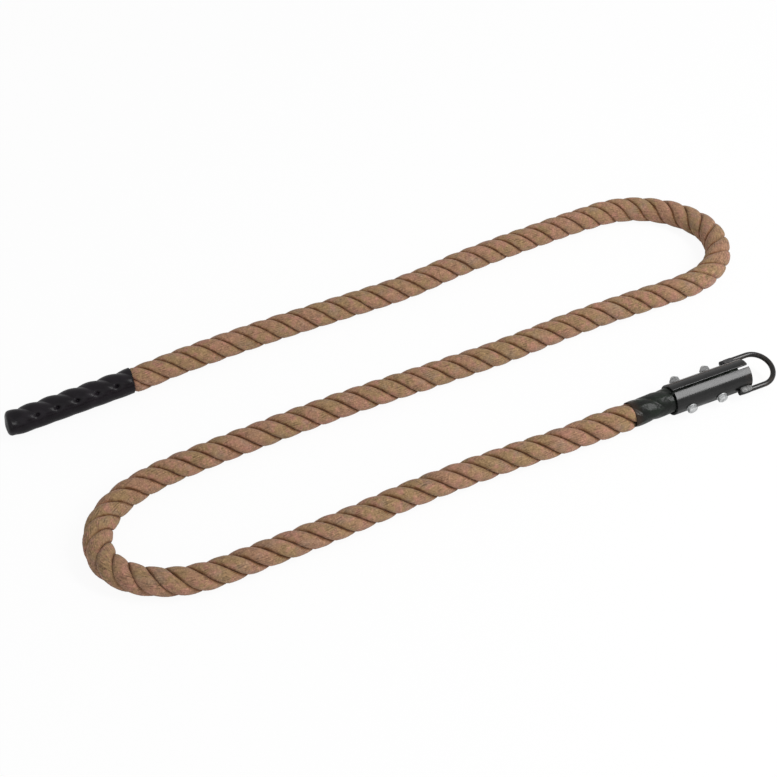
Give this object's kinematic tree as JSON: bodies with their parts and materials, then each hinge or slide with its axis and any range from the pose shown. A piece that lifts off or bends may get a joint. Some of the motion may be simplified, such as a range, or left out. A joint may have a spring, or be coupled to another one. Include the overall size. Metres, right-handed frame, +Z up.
{
  "type": "climbing rope",
  "caption": "Gym climbing rope laid out in an S, with a ribbed black cap on its free end and a bolted two-shell steel clamp with a welded hanging bail on the other.",
  "frame": {"origin": "centre of the laid-out part's box, on the floor that it lies on", "axes": "+X along the long runs of rope, towards the clamp's bail; +Y across the runs, towards the capped one; +Z up from the floor"},
  "size_m": [1.1695, 0.4708, 0.046],
  "materials": {
    "rope_fibre": "tan-brown twisted spun fibre, matt and slightly hairy",
    "cap_rubber": "black moulded rubber, satin",
    "sleeve_film": "black shrunk sleeve with soft creases, half gloss",
    "black_steel": "black paint on steel, half gloss",
    "zinc_steel": "bright zinc plating"
  },
  "bodies": {
    "root": {"rope": "rope_fibre", "rope_tail": "rope_fibre", "end_cap": "cap_rubber", "clamp_sleeve": "sleeve_film", "near_shell": "black_steel", "far_shell": "black_steel", "bail": "black_steel", "near_upper_weld": "black_steel", "near_lower_weld": "black_steel", "far_upper_weld": "black_steel", "far_lower_weld": "black_steel", "mouth_bolt": "zinc_steel", "middle_bolt": "zinc_steel", "mouth_nut": "zinc_steel", "middle_nut": "zinc_steel", "mouth_near_washer": "zinc_steel", "mouth_far_washer": "zinc_steel", "middle_near_washer": "zinc_steel", "middle_far_washer": "zinc_steel"}
  },
  "joints": []
}
